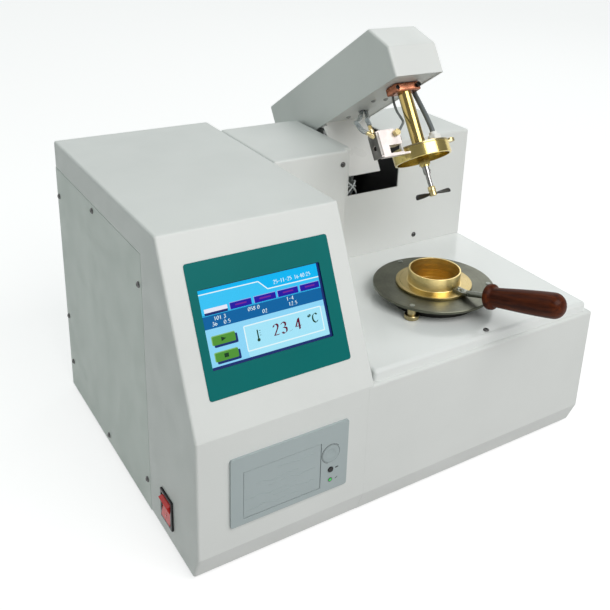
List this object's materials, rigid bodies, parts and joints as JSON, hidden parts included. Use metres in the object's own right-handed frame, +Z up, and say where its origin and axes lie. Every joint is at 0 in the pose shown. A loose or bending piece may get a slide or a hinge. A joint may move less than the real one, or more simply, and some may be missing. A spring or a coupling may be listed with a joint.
{
  "type": "flash point tester",
  "caption": "Bench tester with a sloping screen console, a heated brass cup with a wooden handle, and a lifting arm that lowers a stirred lid onto the cup.",
  "frame": {"origin": "middle of the whole part's box, on the surface it stands on", "axes": "+X to the right as seen from the front, +Y towards the back, +Z up"},
  "size_m": [0.455, 0.4494, 0.4181],
  "materials": {
    "case_paint": "white powder coat, light texture",
    "tray_paint": "white stove enamel, glossier than the case",
    "shield_paint": "bright white sheet",
    "plate_zinc": "zinc plated sheet",
    "foot_rubber": "moulded rubber",
    "screw_steel": "nickel plated screws",
    "screw_black": "blackened screws",
    "well_black": "black satin paint",
    "bush_bronze": "oil bronze",
    "motor_steel": "plated motor can",
    "shaft_steel": "turned steel",
    "mask_teal": "printed overlay",
    "display_navy": "dark frame of the display",
    "display_face": "lit display",
    "board_green": "circuit board",
    "supply_metal": "pressed housing",
    "printer_grey": "moulded grey plastic",
    "platen_rubber": "rubber roller",
    "paper": "roll of thermal paper",
    "button_black": "small round key",
    "lamp_green": "green lamp lens",
    "switch_black": "moulded bezel",
    "rocker_red": "red translucent rocker",
    "inlet_black": "moulded plastic",
    "ring_steel": "turned ring",
    "can_black": "heat resistant black",
    "bath_iron": "cast heating pot",
    "heater_mica": "band heater",
    "plate_dark": "dark oxidised steel",
    "nut_brass": "knurled brass",
    "cup_brass": "turned brass",
    "shank_steel": "bright steel",
    "grip_wood": "red brown lacquered wood",
    "clamp_copper": "copper",
    "block_white": "satin metal block",
    "hose_clear": "clear soft tube",
    "fitting_nylon": "white nylon",
    "cable_grey": "grey sleeve",
    "electrode_grey": "grey lead and ceramic",
    "blade_dark": "darkened steel"
  },
  "bodies": {
    "cabinet": {"case_shell": "case_paint", "side_cover": "case_paint", "base_plate": "plate_zinc", "rubber_feet": "foot_rubber", "rear_panels": "case_paint", "bench_tray": "tray_paint", "tower_left_box": "case_paint", "tower_housing": "case_paint", "case_screws": "screw_steel", "arm_well": "well_black", "pivot_bushes": "bush_bronze", "lift_gearmotor": "motor_steel", "screen_mask": "mask_teal", "display_frame": "display_navy", "display_panel": "display_face", "control_board": "board_green", "power_supply": "supply_metal", "printer_frame": "printer_grey", "printer_lamp": "lamp_green", "rocker_bezel": "switch_black", "power_inlet": "inlet_black", "fan_frame": "inlet_black", "stove_ring": "ring_steel", "stove_can": "can_black", "air_bath": "bath_iron", "heater_band": "heater_mica", "stove_plate": "plate_dark", "plate_screws": "plate_dark"},
    "printer_door": {"printer_door": "printer_grey"},
    "platen_roller": {"platen_roller": "platen_rubber"},
    "paper_roll": {"paper_roll": "paper"},
    "door_button": {"door_button": "printer_grey"},
    "feed_button": {"feed_button": "button_black"},
    "rocker": {"rocker": "rocker_red"},
    "fan_rotor": {"fan_rotor": "inlet_black"},
    "nut_front": {"plate_nut_front": "nut_brass"},
    "nut_right": {"plate_nut_right": "nut_brass"},
    "nut_back": {"plate_nut_back": "nut_brass"},
    "cup": {"test_cup": "cup_brass", "cup_shank": "shank_steel", "cup_grip": "grip_wood"},
    "arm": {"arm_housing": "case_paint", "arm_base": "case_paint", "arm_screws": "screw_black", "arm_cheeks": "plate_zinc", "arm_shield": "shield_paint", "pivot_shaft": "shaft_steel", "stirrer_motor": "motor_steel", "column_clamp": "clamp_copper", "column_tube": "cup_brass", "lid": "cup_brass", "ignition_block": "block_white", "gas_hoses": "hose_clear", "sensor_fitting": "fitting_nylon", "sensor_cable": "cable_grey", "spark_electrode": "electrode_grey"},
    "shutter": {"shutter_plate": "cup_brass"},
    "valve_knob": {"valve_knob": "nut_brass"},
    "stirrer": {"stirrer_shaft": "shaft_steel", "stirrer_blades": "blade_dark"}
  },
  "joints": [
    {"name": "arm_lift", "type": "hinge", "parent": "cabinet", "child": "arm", "pos_m": [0.0865, 0.13361, 0.183], "axis": [-1, 0, 0], "range_deg": [-33, 0]},
    {"name": "stirrer_spin", "type": "hinge", "parent": "arm", "child": "stirrer", "pos_m": [0.0865, -0.03053, 0.31583], "axis": [0, 0.5446, 0.8387], "continuous": true},
    {"name": "shutter_turn", "type": "hinge", "parent": "arm", "child": "shutter", "pos_m": [0.0865, -0.03472, 0.30937], "axis": [0, 0.5446, 0.8387], "range_deg": [0, 28], "stiffness_Nm_per_rad": 0.01, "springref_deg": -17.19},
    {"name": "valve_turn", "type": "hinge", "parent": "arm", "child": "valve_knob", "pos_m": [0.0495, -0.04186, 0.32831], "axis": [0, -0.8387, 0.5446], "continuous": true},
    {"name": "cup_lift", "type": "slide", "parent": "cabinet", "child": "cup", "axis": [0, 0, 1], "range_m": [0, 0.06]},
    {"name": "nut_front_turn", "type": "hinge", "parent": "cabinet", "child": "nut_front", "pos_m": [0.0367, -0.10514, 0.16], "axis": [0, 0, 1], "continuous": true},
    {"name": "nut_right_turn", "type": "hinge", "parent": "cabinet", "child": "nut_right", "pos_m": [0.1363, -0.10514, 0.16], "axis": [0, 0, 1], "continuous": true},
    {"name": "nut_back_turn", "type": "hinge", "parent": "cabinet", "child": "nut_back", "pos_m": [0.0865, -0.01889, 0.16], "axis": [0, 0, 1], "continuous": true},
    {"name": "rocker_tilt", "type": "hinge", "parent": "cabinet", "child": "rocker", "pos_m": [-0.2165, -0.10689, 0.0375], "axis": [0, 1, 0], "range_deg": [0, 14]},
    {"name": "printer_door_swing", "type": "hinge", "parent": "cabinet", "child": "printer_door", "pos_m": [-0.1445, -0.17099, 0.0609], "axis": [1, 0, 0], "range_deg": [0, 88]},
    {"name": "platen_spin", "type": "hinge", "parent": "printer_door", "child": "platen_roller", "pos_m": [-0.1445, -0.16459, 0.1005], "axis": [1, 0, 0], "continuous": true},
    {"name": "paper_spin", "type": "hinge", "parent": "cabinet", "child": "paper_roll", "pos_m": [-0.1445, -0.14329, 0.0739], "axis": [1, 0, 0], "continuous": true},
    {"name": "door_button_press", "type": "slide", "parent": "cabinet", "child": "door_button", "axis": [0, 1, 0], "range_m": [0, 0.0012], "stiffness_N_per_m": 400, "springref_m": -0.002},
    {"name": "feed_button_press", "type": "slide", "parent": "cabinet", "child": "feed_button", "axis": [0, 1, 0], "range_m": [0, 0.0012], "stiffness_N_per_m": 300, "springref_m": -0.002},
    {"name": "fan_spin", "type": "hinge", "parent": "cabinet", "child": "fan_rotor", "pos_m": [-0.1005, 0.16311, 0.075], "axis": [0, 1, 0], "continuous": true}
  ]
}
